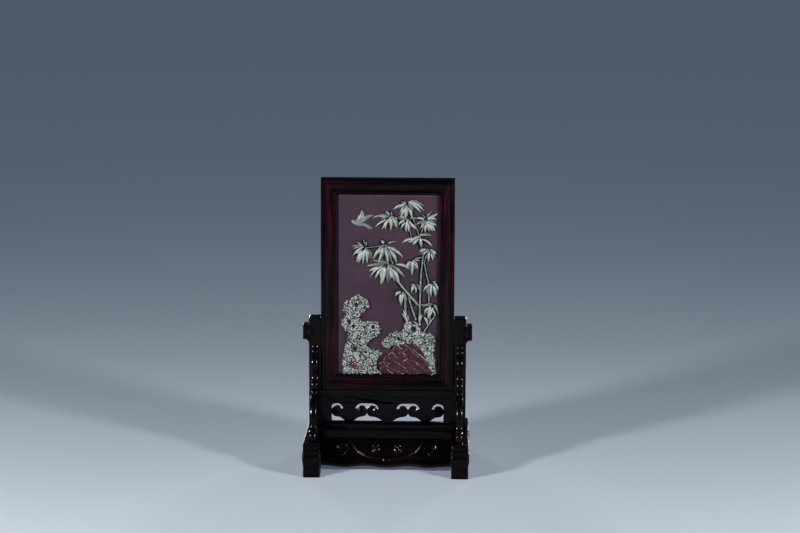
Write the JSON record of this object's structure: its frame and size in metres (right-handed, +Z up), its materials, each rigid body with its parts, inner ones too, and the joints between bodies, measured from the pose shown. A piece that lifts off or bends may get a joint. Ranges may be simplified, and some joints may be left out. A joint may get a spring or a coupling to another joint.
{
  "type": "carved stone table screen",
  "caption": "Upright carved stone panel in a moulded hardwood frame, standing in a low hardwood stand with shoe feet, openwork waist and sloping aprons.",
  "frame": {"origin": "on the table under the middle of the stand", "axes": "+X to the viewer's right, -Y out of the carved front, +Z up"},
  "size_m": [0.29, 0.19, 0.5],
  "materials": {
    "hardwood": "polished",
    "board": "satin",
    "purple_stone": "honed",
    "green_stone": "satin",
    "red_stone": "honed"
  },
  "bodies": {
    "stand": {"waist_panel": "hardwood", "upper_stretcher": "hardwood", "lower_stretcher": "hardwood", "left_upright": "hardwood", "right_upright": "hardwood", "left_foot": "hardwood", "right_foot": "hardwood", "front_left_spandrel": "hardwood", "front_right_spandrel": "hardwood", "rear_left_spandrel": "hardwood", "rear_right_spandrel": "hardwood", "front_apron": "hardwood", "rear_apron": "hardwood"},
    "screen": {"frame_top_rail": "hardwood", "frame_bottom_rail": "hardwood", "frame_left_stile": "hardwood", "frame_right_stile": "hardwood", "stone_panel": "purple_stone", "back_board": "board", "bamboo_carving": "green_stone", "bird_carving": "green_stone", "left_rock_carving": "green_stone", "right_rock_carving": "green_stone", "red_rock_carving": "red_stone"}
  },
  "joints": [
    {"name": "screen_lift", "type": "slide", "parent": "stand", "child": "screen", "axis": [0, 0, 1], "range_m": [0, 0.15]}
  ]
}
